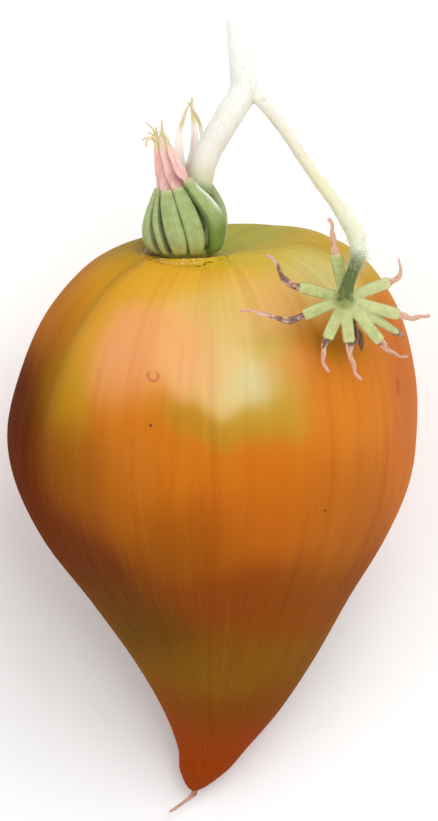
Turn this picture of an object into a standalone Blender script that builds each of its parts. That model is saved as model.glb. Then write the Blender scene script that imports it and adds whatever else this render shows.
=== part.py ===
"""A heart-shaped tomato as picked, lying on a small flat spot on its back flank.

Every piece is shaped in the fruit's hanging frame, then laid down by one empty. In the hanging frame
+Z runs up the fruit's axis to the stem, +X is to the right, -Y is the front, and the origin is the
centre of the fruit's widest ring. Lengths are in millimetres until MM makes them metres, and angles
round the fruit are in degrees from the right towards the front.
"""

import math
import random

import bmesh
import bpy
import numpy as np
from mathutils import Matrix, Vector

MM = 0.001
GAP = 0.3

# The fruit
FRUIT_RADIUS = 42.5
SEGMENTS = 60
RINGS = 36
SHOULDER_TILT = 0.055
WIDEST_SHARE = 0.45
SHOULDER_RISE = 0.8
RISE_ANGLE = 300
FRONT_FALL = 3.0
SLOPE_START_SHARE = 0.11
SLOPE_SKEW = 0.7
REST_TILT = math.radians(30)
REST_CUT = 0.75

# Its erect calyx, the crown
CROWN_BASE = Vector((-5.2, -4.0, 36.5))
CROWN_HEIGHT = 25.0
CLOSED_HEIGHT = 16.0
SWELL_START = 3.0
SWELL_RISE = 9.0
RECEPTACLE_RADIUS = 4.9
RECEPTACLE_HALF_WIDTH = 1.3
RECEPTACLE_FLATNESS = 0.75
CURL_STEPS = (1, 2, 3)
CURL_RISE = 1.4
CURL_BEND = 0.2
THREAD_HALF_WIDTH = 0.5
THREAD_HALF_THICKNESS = 0.38

# The spent flower's calyx, the star, which faces the front
STAR_CENTRE = Vector((25.9, -35.0, 32.0))
HUB_RADIUS = 2.3
HUB_FLATNESS = 0.55
STAR_STEPS = 9
GREEN_ROOT = 1.0
GREEN_SWELL = 0.45
GREEN_HALF_THICKNESS = 0.55
DRIED_HALF_WIDTH = 0.85
DRIED_HALF_THICKNESS = 0.45
DRIED_TAPER = 0.3
DRIED_BEND = 3.0
DRIED_WAVE = 12.0
DRIED_WAVES = 5.0
DRIED_TWIST = 1.2

WITHERED_DEPTH = 1.0
STYLE_RADIUS = 0.8

# Rings of the fruit from the stem cavity to the tip:
# radius, height, and the ring centre's shift to the right and to the back.
FRUIT_OUTLINE = (
    (0.0, 34.6, -5.2, -4.0),
    (6.0, 35.0, -4.8, -3.8),
    (12.0, 36.9, -2.0, -2.0),
    (20.0, 37.9, 2.0, 0.0),
    (29.0, 33.2, 2.3, 0.0),
    (36.8, 23.0, 1.7, 0.0),
    (41.1, 10.5, 0.9, 0.0),
    (FRUIT_RADIUS, -1.0, 0.0, 0.0),
    (40.9, -12.0, 0.2, 0.0),
    (35.7, -23.8, 0.6, 0.0),
    (27.5, -36.5, 1.6, 0.0),
    (19.4, -50.0, 2.6, 0.0),
    (12.7, -61.5, 2.2, 0.0),
    (7.5, -70.5, 0.3, 0.0),
    (4.8, -76.0, -1.8, -0.6),
    (0.0, -80.2, -3.6, -1.2),
)

# Furrows that run down from the stem: angle, depth, half width in degrees, and how far down they
# reach as a share of the outline.
FURROWS = (
    (146, 1.3, 6, 0.50),
    (97, 0.5, 8, 0.42),
    (62, 0.6, 9, 0.45),
    (22, 0.8, 10, 0.50),
    (178, 0.5, 9, 0.52),
    (214, 1.8, 22, 0.48),
    (262, 0.8, 10, 0.50),
    (305, 0.9, 10, 0.48),
    (342, 0.7, 9, 0.45),
)

# The two bunches that the crown's dried tips gather in: how far each leans at CROWN_HEIGHT, and how
# tall it stands next to a plain blade.
FRONT_BUNCH = (Vector((-5.2, -1.0, 0.0)), 1.0)
BACK_BUNCH = (Vector((0.6, 5.0, 0.0)), 1.14)

# Each crown sepal: angle, half its width, how far it turns round the crown as it rises, how much
# further out than a plain blade it swells, and its bunch.
CROWN_PLAN = (
    (28, 1.9, 27, 1.5, FRONT_BUNCH),
    (70, 1.6, 14, 1.0, FRONT_BUNCH),
    (97, 1.6, 28, 0.95, FRONT_BUNCH),
    (124, 1.3, 40, 0.9, FRONT_BUNCH),
    (152, 1.4, 34, 0.85, FRONT_BUNCH),
    (182, 1.7, 20, 0.85, FRONT_BUNCH),
    (216, 2.0, 5, 0.95, FRONT_BUNCH),
    (254, 2.1, 0, 1.0, BACK_BUNCH),
    (298, 2.1, -14, 1.0, BACK_BUNCH),
    (342, 2.0, -42, 1.12, BACK_BUNCH),
)

# A crown sepal's middle line: distance from its bunch's axis, height, share of the half width, and
# half thickness. The last three rows are the dried tip.
CROWN_BLADE = (
    (4.6, 0.3, 0.60, 0.80),
    (6.8, 1.2, 0.80, 1.00),
    (7.5, 3.8, 1.00, 1.05),
    (7.1, 7.0, 0.98, 1.05),
    (5.4, 10.4, 0.85, 0.95),
    (3.6, 13.6, 0.62, 0.72),
    (2.6, 17.0, 0.48, 0.55),
    (2.1, 20.0, 0.40, 0.45),
    (1.6, 22.5, 0.32, 0.40),
)

# Stem routes: x, y, z and radius. The first runs from the cut end through the fork to the fruit, the
# second from the fork over the shoulder to the star.
MAIN_STEM = (
    (4.9, 4.0, 83.0, 1.9),
    (5.5, 3.6, 77.6, 2.2),
    (6.4, 3.0, 72.1, 2.6),
    (6.6, 2.4, 68.4, 2.9),
    (4.3, 0.8, 64.6, 2.85),
    (1.3, -0.9, 59.7, 2.75),
    (-1.2, -2.2, 55.2, 2.75),
    (-2.4, -3.1, 50.4, 2.75),
    (-3.3, -3.5, 44.8, 2.75),
    (-4.5, -4.0, 38.6, 2.85),
    (-5.0, -4.0, 35.6, 2.95),
)
SIDE_BRANCH = (
    (6.2, 2.2, 68.8, 1.6),
    (9.4, 1.5, 67.0, 1.25),
    (12.0, -1.0, 64.4, 1.2),
    (15.1, -5.0, 60.8, 1.2),
    (20.5, -14.5, 53.5, 1.2),
    (24.9, -23.5, 48.3, 1.35),
    (27.2, -30.0, 45.4, 1.75),
    (28.2, -33.0, 43.4, 1.75),
    (28.3, -36.4, 41.0, 1.35),
    (27.6, -38.4, 38.8, 1.15),
    (26.5, -38.9, 36.0, 1.25),
    (25.9, -37.2, 33.2, 1.45),
)

# Each sepal of the star: clock direction in degrees from straight up, green length, dried length,
# turn of the dried tip in degrees, and how far its end leans to the back.
STAR_SEPALS = (
    (-12, 9.0, 7.0, -4, -1.0),
    (-75, 9.2, 9.8, 40, -4.0),
    (-112, 8.8, 12.4, 36, -5.0),
    (-157, 8.6, 6.4, -38, -2.0),
    (174, 8.8, 7.6, -22, -1.0),
    (141, 11.4, 6.4, -34, 3.0),
    (125, 13.0, 1.4, -10, 4.5),
    (108, 11.4, 6.0, -30, 3.0),
    (70, 9.4, 5.2, -76, 1.0),
)


def smooth_route(stations, count, closed_poles=False):
    """Samples along a Catmull-Rom spline through the stations, each any row of numbers.

    With closed_poles the first number is a radius that meets itself across the axis at both ends.
    """
    rows = np.array(stations, float)
    before = 2 * rows[0] - rows[1]
    after = 2 * rows[-1] - rows[-2]
    if closed_poles:
        before, after = rows[1].copy(), rows[-2].copy()
        before[0], after[0] = -before[0], -after[0]
    padded = np.vstack([before, rows, after])
    samples = []
    for place in np.linspace(0, len(rows) - 1, count):
        i = min(int(place), len(rows) - 2)
        t = place - i
        a, b, c, d = padded[i : i + 4]
        bend = (2 * a - 5 * b + 4 * c - d) * t + (3 * b - a - 3 * c + d) * t * t
        samples.append(b + 0.5 * t * (c - a + bend))
    return np.array(samples)


def outward(degrees):
    """The level direction at this angle round the fruit."""
    angle = math.radians(degrees)
    return Vector((math.cos(angle), -math.sin(angle), 0))


def clear_scene():
    for old in list(bpy.data.objects):
        bpy.data.objects.remove(old)


def new_collection(name):
    made = bpy.data.collections.new(name)
    bpy.context.scene.collection.children.link(made)
    return made


def material(name, colour, roughness):
    made = bpy.data.materials.new(name)
    made.use_nodes = True
    shader = made.node_tree.nodes["Principled BSDF"]
    shader.inputs["Base Color"].default_value = (*colour, 1)
    shader.inputs["Roughness"].default_value = roughness
    shader.inputs["Metallic"].default_value = 0
    made.diffuse_color = (*colour, 1)
    return made


def mesh_object(name, bm):
    mesh = bpy.data.meshes.new(name)
    bmesh.ops.recalc_face_normals(bm, faces=bm.faces)
    bm.to_mesh(mesh)
    bm.free()
    return bpy.data.objects.new(name, mesh)


def evaluated_mesh(piece):
    bpy.context.view_layer.update()
    graph = bpy.context.evaluated_depsgraph_get()
    return bpy.data.meshes.new_from_object(piece.evaluated_get(graph))


def sweep(name, centres, half_widths, half_thicknesses, facing, twists=None, sides=6):
    """A closed blade lofted along the centres through oval sections of changing width and twist."""
    bm = bmesh.new()
    centres = [Vector(row) for row in centres]
    last = len(centres) - 1
    facing = Vector(facing)
    rings = []
    for i, centre in enumerate(centres):
        along = (centres[min(i + 1, last)] - centres[max(i - 1, 0)]).normalized()
        facing = (facing - along * facing.dot(along)).normalized()
        twist = Matrix.Rotation(twists[i] if twists else 0.0, 3, along)
        thick = twist @ facing
        wide = along.cross(thick)
        ring = []
        for k in range(sides):
            angle = 2 * math.pi * k / sides
            side = wide * (half_widths[i] * math.cos(angle))
            lift = thick * (half_thicknesses[i] * math.sin(angle))
            ring.append(bm.verts.new((centre + side + lift) * MM))
        rings.append(ring)
    for lower, upper in zip(rings, rings[1:]):
        for k in range(sides):
            n = (k + 1) % sides
            bm.faces.new((lower[k], lower[n], upper[n], upper[k]))
    bm.faces.new(rings[0][::-1])
    bm.faces.new(rings[-1])
    return mesh_object(name, bm)


def tube(name, stations, collection, bevel_resolution, spacing):
    """A round stem through stations of x, y, z and radius, as a mesh with its caps welded."""
    length = sum(math.dist(a[:3], b[:3]) for a, b in zip(stations, stations[1:]))
    route = smooth_route(stations, round(length / spacing) + 1)
    curve = bpy.data.curves.new(name, "CURVE")
    curve.dimensions = "3D"
    curve.bevel_depth = MM
    curve.bevel_resolution = bevel_resolution
    curve.use_fill_caps = True
    spline = curve.splines.new("POLY")
    spline.points.add(len(route) - 1)
    for point, (x, y, z, radius) in zip(spline.points, route):
        point.co = (x * MM, y * MM, z * MM, 1)
        point.radius = radius
    guide = bpy.data.objects.new(name, curve)
    collection.objects.link(guide)
    mesh = evaluated_mesh(guide)
    matrix = guide.matrix_world.copy()
    bpy.data.objects.remove(guide)
    bm = bmesh.new()
    bm.from_mesh(mesh)
    bpy.data.meshes.remove(mesh)
    bmesh.ops.remove_doubles(bm, verts=bm.verts, dist=1e-6)
    piece = mesh_object(name, bm)
    piece.matrix_world = matrix
    return piece


def fuse(name, base, others):
    """One solid from pieces that overlap, by one Boolean union with a collection."""
    bpy.context.scene.collection.objects.link(base)
    joined = new_collection(name + "_pieces")
    for piece in others:
        joined.objects.link(piece)
    union = base.modifiers.new("union", "BOOLEAN")
    union.operation = "UNION"
    union.solver = "EXACT"
    union.operand_type = "COLLECTION"
    union.collection = joined
    fused = bpy.data.objects.new(name, evaluated_mesh(base))
    for piece in [base, *others]:
        bpy.data.objects.remove(piece)
    bpy.data.collections.remove(joined)
    return fused


def furrow_depth(degrees, share):
    """How far the furrows pull the skin in at this angle and share of the outline."""
    depth = 0.0
    for middle, most, half_width, reach in FURROWS:
        if share < reach:
            turn = (degrees - middle + 180) % 360 - 180
            along = math.sin(math.pi * share / reach) ** 0.8
            depth += most * math.exp(-((turn / half_width) ** 2)) * along
    return depth


def shoulder_lift(degrees, share, right):
    """How far the shoulder stands above its ring's height: it rises at the back and falls at the front."""
    lift = SHOULDER_TILT * right * max(0.0, 1 - share / WIDEST_SHARE)
    along = (share - SLOPE_START_SHARE) / (WIDEST_SHARE - SLOPE_START_SHARE)
    if 0 < along < 1:
        rise = SHOULDER_RISE * math.cos(math.radians(degrees - RISE_ANGLE))
        fall = FRONT_FALL * max(0.0, math.sin(math.radians(degrees))) ** 2
        lift += (rise - fall) * math.sin(math.pi * along**SLOPE_SKEW)
    return lift


def skin_point(outline, ring, degrees):
    """The skin on this ring, counted from the stem, and at this angle."""
    share = ring / RINGS
    radius, height, right, back = outline[ring]
    radius = max(0.0, radius - furrow_depth(degrees, share))
    out = outward(degrees) * radius
    lift = shoulder_lift(degrees, share, out.x)
    return Vector((right, back, height + lift)) + out


def fruit_skin():
    """A sphere's rings moved onto the furrowed outline."""
    bm = bmesh.new()
    bmesh.ops.create_uvsphere(bm, u_segments=SEGMENTS, v_segments=RINGS, radius=1)
    outline = smooth_route(FRUIT_OUTLINE, RINGS + 1, closed_poles=True)
    for vertex in bm.verts:
        ring = round(math.acos(max(-1.0, min(1.0, vertex.co.z))) / math.pi * RINGS)
        degrees = math.degrees(math.atan2(-vertex.co.y, vertex.co.x))
        vertex.co = skin_point(outline, ring, degrees) * MM
    return bm


def lying_matrix(skin):
    """Lays the hanging frame on the fruit's back flank, with REST_CUT of the skin below the floor."""
    turn = Matrix.Rotation(REST_TILT - math.pi / 2, 4, "X")
    lowest = min((turn @ vertex.co).z for vertex in skin.verts)
    return Matrix.Translation((0, 0, -lowest - REST_CUT * MM)) @ turn


def cut_rest_spot(skin, lying):
    """Cuts the skin level with the floor and returns the middle of the flat spot where it lies."""
    hanging = lying.inverted()
    bmesh.ops.bisect_plane(
        skin,
        geom=skin.verts[:] + skin.edges[:] + skin.faces[:],
        plane_co=hanging.translation,
        plane_no=hanging.to_3x3() @ Vector((0, 0, -1)),
        clear_outer=True,
    )
    rim = [edge for edge in skin.edges if edge.is_boundary]
    spot = bmesh.ops.contextual_create(skin, geom=rim)["faces"][0]
    return lying @ spot.calc_center_bounds()


def crown_sepal(number, degrees, half_width, turn, swell, bunch, draw):
    """A thick blade that rises, closes over the stem with the others and ends in a dried thread."""
    lean, tallness = bunch
    reach = tallness * draw.uniform(0.94, 1.04)
    stations = []
    for distance, height, share, half_thickness in CROWN_BLADE:
        rise = height * reach
        turned = degrees + turn * min(1.0, rise / CLOSED_HEIGHT) ** 1.5
        out = distance * (1 + (swell - 1) * max(0.0, min(1.0, (rise - SWELL_START) / SWELL_RISE)))
        centre = CROWN_BASE + lean * (rise / CROWN_HEIGHT) ** 1.5 + outward(turned) * out
        stations.append((centre.x, centre.y, centre.z + rise, half_width * share, half_thickness))
    top = Vector(stations[-1][:3])
    curl = outward(draw.uniform(0, 360)) * CURL_BEND
    for step in CURL_STEPS:
        centre = top + Vector((0, 0, CURL_RISE * step)) + curl * step * step
        stations.append((*centre, THREAD_HALF_WIDTH, THREAD_HALF_THICKNESS))
    route = smooth_route(stations, 15)
    name = f"crown_sepal_{number}"
    return sweep(name, route[:, :3], route[:, 3], route[:, 4], outward(degrees))


def crown_calyx():
    """The crown: sepals that grow from a ring round the stem."""
    draw = random.Random(11)
    bpy.ops.mesh.primitive_torus_add(
        major_segments=24,
        minor_segments=6,
        major_radius=RECEPTACLE_RADIUS * MM,
        minor_radius=RECEPTACLE_HALF_WIDTH * MM,
    )
    ring = bpy.context.object
    bpy.context.collection.objects.unlink(ring)
    ring.data.transform(Matrix.Diagonal((1, 1, RECEPTACLE_FLATNESS, 1)))
    ring.data.transform(Matrix.Translation(CROWN_BASE * MM))
    sepals = [crown_sepal(number, *row, draw) for number, row in enumerate(CROWN_PLAN)]
    return fuse("crown_calyx", ring, sepals)


def truss_stem(collection):
    """The cut stem, its fork, the fruit's own stem and the side branch."""
    main = tube("main_stem", MAIN_STEM, collection, bevel_resolution=3, spacing=3.0)
    branch = tube("side_branch", SIDE_BRANCH, collection, bevel_resolution=2, spacing=2.2)
    return fuse("truss_stem", main, [branch])


def star_sepal(number, clock, green, dried, turn, back, draw):
    """A green strap that ends in a narrower dried tip, which turns, waves and twists."""
    total = green + dried
    stations = []
    place = Vector((0, 0, 0))
    for i in range(STAR_STEPS + 1):
        share = i / STAR_STEPS
        run = share * total
        over = max(0.0, (run - green) / dried)
        bend = turn * min(1.0, over * DRIED_BEND) + DRIED_WAVE * math.sin(over * DRIED_WAVES)
        heading = math.radians(clock + bend)
        if run <= green:
            half_width = GREEN_ROOT + GREEN_SWELL * math.sin(math.pi * 0.8 * run / green)
            half_thickness = GREEN_HALF_THICKNESS
        else:
            half_width = DRIED_HALF_WIDTH * (1 - DRIED_TAPER * over)
            half_thickness = DRIED_HALF_THICKNESS * (1 - DRIED_TAPER * over)
        centre = STAR_CENTRE + place + Vector((0, back * share * share, 0))
        stations.append((*centre, half_width, half_thickness))
        place += Vector((math.sin(heading), 0, math.cos(heading))) * (total / STAR_STEPS)
    route = smooth_route(stations, 13)
    end_twist = draw.uniform(-DRIED_TWIST, DRIED_TWIST)
    shares = np.linspace(0, 1, len(route))
    twists = [end_twist * max(0.0, share - green / total) * total / dried for share in shares]
    name = f"star_sepal_{number}"
    return sweep(name, route[:, :3], route[:, 3], route[:, 4], (0, -1, 0), twists)


def spent_calyx():
    """The star: sepals spread flat round a small hub."""
    draw = random.Random(5)
    bm = bmesh.new()
    bmesh.ops.create_uvsphere(bm, u_segments=16, v_segments=8, radius=HUB_RADIUS * MM)
    bmesh.ops.scale(bm, verts=bm.verts, vec=(1, HUB_FLATNESS, 1))
    bmesh.ops.translate(bm, verts=bm.verts, vec=STAR_CENTRE * MM)
    sepals = [star_sepal(number, *row, draw) for number, row in enumerate(STAR_SEPALS)]
    return fuse("spent_calyx", mesh_object("hub", bm), sepals)


def withered_flower():
    """A shrivelled thread and head behind the star, hanging between two of its sepals."""
    root = STAR_CENTRE + Vector((0.2, HUB_RADIUS * HUB_FLATNESS + WITHERED_DEPTH, -0.2))
    stations = (
        (root.x, root.y, root.z, 1.0),
        (root.x + 0.5, root.y + 1.6, root.z - 2.5, 0.8),
        (root.x + 1.3, root.y + 2.0, root.z - 5.6, 0.8),
        (root.x + 2.1, root.y + 1.7, root.z - 8.4, 1.2),
        (root.x + 2.3, root.y + 1.3, root.z - 10.2, 0.6),
    )
    route = smooth_route(stations, 10)
    return sweep("withered_flower", route[:, :3], route[:, 3], route[:, 3], (0, 1, 0), sides=8)


def style_remnant():
    """The dry thread at the fruit's tip, bent to the left and the front."""
    height, right, back = FRUIT_OUTLINE[-1][1:]
    stations = (
        (right, back, height - GAP, STYLE_RADIUS),
        (right - 0.2, back - 0.1, height - GAP - 0.5, 0.7),
        (right - 1.5, back - 0.9, height - GAP - 1.4, 0.55),
        (right - 3.6, back - 2.2, height - GAP - 2.6, 0.45),
        (right - 5.2, back - 3.0, height - GAP - 3.4, 0.4),
    )
    route = smooth_route(stations, 8)
    return sweep("style_remnant", route[:, :3], route[:, 3], route[:, 3], (0, 1, 0), sides=8)


def main():
    clear_scene()
    parts = new_collection("tomato")

    skin = fruit_skin()
    lying = lying_matrix(skin)
    spot = cut_rest_spot(skin, lying)
    pose = bpy.data.objects.new("lying_pose", None)
    pose.matrix_world = Matrix.Translation(-spot) @ lying
    parts.objects.link(pose)

    pieces = (
        (mesh_object("fruit", skin), material("ripening_skin", (0.75, 0.35, 0.07), 0.3)),
        (crown_calyx(), material("green_sepal", (0.33, 0.45, 0.18), 0.6)),
        (truss_stem(parts), material("pale_stem", (0.75, 0.77, 0.55), 0.6)),
        (spent_calyx(), material("pale_sepal", (0.45, 0.58, 0.28), 0.6)),
        (withered_flower(), material("dried_brown", (0.16, 0.09, 0.05), 0.85)),
        (style_remnant(), material("dried_pink", (0.6, 0.4, 0.33), 0.8)),
    )
    for piece, look in pieces:
        parts.objects.link(piece)
        piece.parent = pose
        piece.data.materials.clear()
        piece.data.materials.append(look)
        piece.data.shade_smooth()
        piece.data.set_sharp_from_angle(angle=math.radians(50))


main()
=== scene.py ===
"""The looks of a heart-shaped tomato as picked: its skin, calyxes, stem, hairs and dried remnants.

Every piece is shaped in the fruit's hanging frame, in millimetres, and then laid down as the frame has
it. In the hanging frame +Z runs up the fruit's axis to the stem, +X is to the right, -Y is the front,
and the origin is the centre of the fruit's widest ring. Angles round the fruit are in degrees from the
right towards the front.
"""

import math
import random

import bmesh
import bpy
import numpy as np
from mathutils import Matrix, Vector, noise
from mathutils.kdtree import KDTree


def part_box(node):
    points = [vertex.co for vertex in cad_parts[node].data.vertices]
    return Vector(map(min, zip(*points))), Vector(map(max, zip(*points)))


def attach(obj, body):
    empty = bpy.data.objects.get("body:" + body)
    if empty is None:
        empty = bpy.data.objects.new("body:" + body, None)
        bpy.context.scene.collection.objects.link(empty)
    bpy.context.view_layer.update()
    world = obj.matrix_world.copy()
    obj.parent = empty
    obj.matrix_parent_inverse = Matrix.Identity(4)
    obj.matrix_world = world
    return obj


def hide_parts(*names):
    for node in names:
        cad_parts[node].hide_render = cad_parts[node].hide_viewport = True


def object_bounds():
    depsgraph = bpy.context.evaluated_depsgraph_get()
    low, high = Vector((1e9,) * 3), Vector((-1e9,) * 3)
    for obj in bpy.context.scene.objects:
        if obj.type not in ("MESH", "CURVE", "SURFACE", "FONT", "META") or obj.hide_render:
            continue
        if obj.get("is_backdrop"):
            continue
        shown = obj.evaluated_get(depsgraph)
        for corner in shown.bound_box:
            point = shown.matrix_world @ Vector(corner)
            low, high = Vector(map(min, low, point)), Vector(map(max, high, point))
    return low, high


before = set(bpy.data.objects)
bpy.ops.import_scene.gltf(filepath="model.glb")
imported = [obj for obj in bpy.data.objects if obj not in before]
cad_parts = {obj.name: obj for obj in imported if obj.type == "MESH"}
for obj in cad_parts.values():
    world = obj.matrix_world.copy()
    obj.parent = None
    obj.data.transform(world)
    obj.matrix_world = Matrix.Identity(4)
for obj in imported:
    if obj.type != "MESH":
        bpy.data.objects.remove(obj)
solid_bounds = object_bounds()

MM = 0.001
BODY = "root"
LAY = np.array(Matrix.Rotation(math.radians(-60), 3, "X"))

# The fruit
FRUIT_RADIUS = 42.5
SOLID_SEGMENTS = 60
SOLID_RINGS = 36
SEGMENTS = 360
RINGS = 300
SHOULDER_TILT = 0.055
WIDEST_SHARE = 0.45
SHOULDER_RISE = 0.8
RISE_ANGLE = 300
FRONT_FALL = 3.0
SLOPE_START_SHARE = 0.11
SLOPE_SKEW = 0.7
RIDGE_WAVES = range(17, 61, 4)
RIDGE_HEIGHT = 0.035
LOBES = ((7, 0.8, 0.6), (5, 2.1, 0.4))
LOBE_HEIGHT = 0.22
RIM_WAVES = (23, 37, 53, 71)
CORK_DISTANCE = 8.3
CORK_HALF_WIDTH = 1.1
CORK_HEIGHT = 0.15
CRACK_OFFSET = 2.0
SHOULDER_TOP = (31.0, 32.5)

# Its erect calyx, the crown
CROWN_BASE = np.array((-5.2, -4.0, 36.5))
CROWN_HEIGHT = 25.0
CLOSED_HEIGHT = 16.0
SWELL_START = 3.0
SWELL_RISE = 9.0
RECEPTACLE_RADIUS = 4.9
RECEPTACLE_HALF_WIDTH = 1.3
RECEPTACLE_FLATNESS = 0.75
REACH_RANGE = (0.94, 1.04)
TIP_OVERLAP = 1.2
THREAD_HALF_WIDTHS = (0.5, 0.14)

# The spent flower's calyx, the star, which faces the front
STAR_CENTRE = np.array((25.9, -35.0, 32.0))
HUB_RADIUS = 2.3
HUB_FLATNESS = 0.55
STAR_STEPS = 9
DRIED_BEND = 3.0
DRIED_WAVE = 12.0
DRIED_WAVES = 5.0
DRIED_TWIST = 1.2
STRAP_ROOT = 0.8
STRAP_SWELL = 0.42
STRAP_HALF_THICKNESS = 0.5
STAR_TIP_OVERLAP = 0.06

WITHERED_DEPTH = 1.0
WITHERED_RIBBONS = 5
STYLE_GAP = 0.3

# Rings of the fruit from the stem cavity to the tip:
# radius, height, and the ring centre's shift to the right and to the back.
FRUIT_OUTLINE = (
    (0.0, 34.6, -5.2, -4.0),
    (6.0, 35.0, -4.8, -3.8),
    (12.0, 36.9, -2.0, -2.0),
    (20.0, 37.9, 2.0, 0.0),
    (29.0, 33.2, 2.3, 0.0),
    (36.8, 23.0, 1.7, 0.0),
    (41.1, 10.5, 0.9, 0.0),
    (FRUIT_RADIUS, -1.0, 0.0, 0.0),
    (40.9, -12.0, 0.2, 0.0),
    (35.7, -23.8, 0.6, 0.0),
    (27.5, -36.5, 1.6, 0.0),
    (19.4, -50.0, 2.6, 0.0),
    (12.7, -61.5, 2.2, 0.0),
    (7.5, -70.5, 0.3, 0.0),
    (4.8, -76.0, -1.8, -0.6),
    (0.0, -80.2, -3.6, -1.2),
)

# Furrows that run down from the stem: angle, depth, half width in degrees, and how far down they
# reach as a share of the outline.
FURROWS = (
    (146, 1.3, 6, 0.50),
    (97, 0.5, 8, 0.42),
    (62, 0.6, 9, 0.45),
    (22, 0.8, 10, 0.50),
    (178, 0.5, 9, 0.52),
    (214, 1.8, 22, 0.48),
    (262, 0.8, 10, 0.50),
    (305, 0.9, 10, 0.48),
    (342, 0.7, 9, 0.45),
)

# The skin's ground colour down the fruit: height and colour.
SKIN_GROUND = (
    (-80, (150, 58, 12)),
    (-70, (150, 60, 12)),
    (-60, (132, 70, 12)),
    (-47, (128, 82, 14)),
    (-30, (140, 72, 12)),
    (-14, (176, 96, 18)),
    (0, (196, 112, 24)),
    (14, (202, 128, 36)),
    (26, (204, 142, 40)),
    (34, (190, 150, 40)),
    (38, (152, 142, 46)),
)

# Soft patches of the skin, which blend where they meet: middle, reach and colour.
SKIN_PATCHES = (
    ((-39, -15, 7), (8, 12, 18), (84, 32, 7)),
    ((-27, -27, -20), (9, 10, 14), (98, 42, 3)),
    ((-33, -26, -9), (7, 8, 9), (98, 36, 3)),
    ((-33, -9, 24), (8, 9, 8), (198, 118, 34)),
    ((-18, -13, 33), (8, 8, 6), (208, 150, 26)),
    ((-26, -4, 32), (7, 7, 5), (172, 112, 18)),
    ((-29, -27, 11), (4.5, 8, 11), (192, 146, 18)),
    ((-29, -31, -3), (6, 7, 7), (168, 102, 10)),
    ((-25, -22, 24), (4, 5, 6), (212, 152, 38)),
    ((-17, -31, 20), (7, 7, 9), (226, 155, 100)),
    ((-5, -35, 21.5), (6, 6, 6.8), (232, 166, 104)),
    ((-18, -37, 6.5), (8, 8, 6.5), (200, 112, 18)),
    ((-4, -20, 34), (8, 6, 5), (218, 160, 45)),
    ((2, -28, 30), (6, 6, 5), (214, 184, 100)),
    ((9, 2, 38), (9, 7, 4), (166, 162, 66)),
    ((23, -4, 38), (9, 8, 6), (190, 150, 44)),
    ((8, -14, 36), (8, 5, 4), (202, 174, 44)),
    ((20, -17, 35), (6, 6, 4), (211, 204, 136)),
    ((13, -27, 30), (6, 6, 5), (220, 168, 98)),
    ((4, -35, 24), (5, 5, 6), (219, 192, 126)),
    # The pale yellow-green patch on the front: partly the skin's own colour, partly a painted
    # highlight.
    ((8.5, -38, 16.5), (4.8, 5.5, 4), (206, 204, 158)),
    ((-4.1, -37.5, 17.5), (3.2, 5, 2.2), (234, 178, 124)),
    ((17.5, -34, 19), (3.5, 5, 4), (222, 148, 80)),
    ((11.5, -33, 24), (4, 4, 2), (194, 170, 72)),
    ((14, -36.5, 13.5), (2.8, 5, 6), (186, 150, 44)),
    # The pale patch's reach to the left: partly the skin's own colour, partly a painted highlight.
    ((1, -39, 15), (4.2, 5, 2), (222, 188, 118)),
    ((5, -41, 9), (6, 5.5, 3.2), (178, 144, 36)),
    ((-3.5, -41, 10), (5, 5.5, 3.2), (176, 132, 30)),
    ((11.5, -39, 9.8), (4.5, 5, 3), (182, 146, 38)),
    ((-16, -2, 36.5), (6, 5, 3), (150, 124, 30)),
    ((18, -35, 14), (5, 6, 8), (212, 128, 38)),
    ((29, -30, 10), (8, 8, 10), (210, 124, 34)),
    ((39, -15, 8), (6, 9, 16), (194, 104, 36)),
    # The olive patch under the star: partly the skin's own colour, partly painted shadow of the star.
    ((24, -30, 20.5), (5, 5, 2.5), (170, 118, 16)),
    ((-6, -42, 1), (14, 8, 6), (200, 113, 12)),
    ((10, -41, 0), (10, 8, 7), (202, 110, 18)),
    ((-20, -36, -8), (8, 8, 7), (176, 98, 10)),
    ((8, -40, -12), (12, 8, 8), (186, 96, 14)),
    ((-6, -38, -19), (8, 8, 6), (152, 82, 6)),
    ((27, -31, -12), (9, 9, 9), (182, 100, 24)),
    ((3, -31, -30), (11, 9, 8), (140, 64, 8)),
    ((23, -25, -28), (8, 9, 9), (138, 72, 12)),
    ((-14, -24, -38), (8, 9, 10), (98, 62, 4)),
    ((1, -20, -47), (9, 8, 8), (130, 84, 12)),
    ((0, -13, -60), (9, 8, 5), (122, 66, 8)),
    ((0, -9, -71), (9, 9, 8), (144, 56, 6)),
)

# Small dark specks on the skin: middle and reach.
SKIN_SPECKS = (
    ((-11.6, -39.9, 8.0), 0.55),
    ((-18.5, -36.1, 11.0), 0.35),
    ((1.5, -31.8, 30.1), 0.35),
    ((22.4, -35.0, -10.1), 0.35),
)
PATCH_WANDER_SEED = 4
PATCH_WANDER = np.array((3.0, 3.0, 5.0))
PATCH_WANDER_SCALE = 0.06
PATCH_SOFTNESS = 1.2
FEATHER_REACH = 2.2
FEATHER_SCALE = 9.0
GROUND_WEIGHT = 0.04

# Painted shade: how far a furrow darkens the skin for each mm of its depth, and the painted shade
# line down the plainest furrow: angle, half width in degrees, reach down the outline and strength.
FURROW_SHADE = 0.05
FURROW_SHADE_LINE = (145, 2.0, 0.44, 0.07)

# A ring-shaped mark on the front, open at its top, and a red streak: middle, and radius or reach.
RING_MARK = ((-11.1, -37.3, 17.1), 1.0)
RING_FRONT = (-25.0, -32.0)
RED_STREAK = ((37.8, -17.0, 11.3), (1.6, 2.0, 3.2))

# The streaks' noise: its size round the fruit, and its scale down the fruit next to that
STREAKS_ROUND = 9.0
STREAK_STRETCH = 0.012

# Between which places the shine grows to its full strength, to the right and up the fruit
DULL_FLANK = (-38.0, -20.0)
DULL_FOOT = (-40.0, 10.0)

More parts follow.
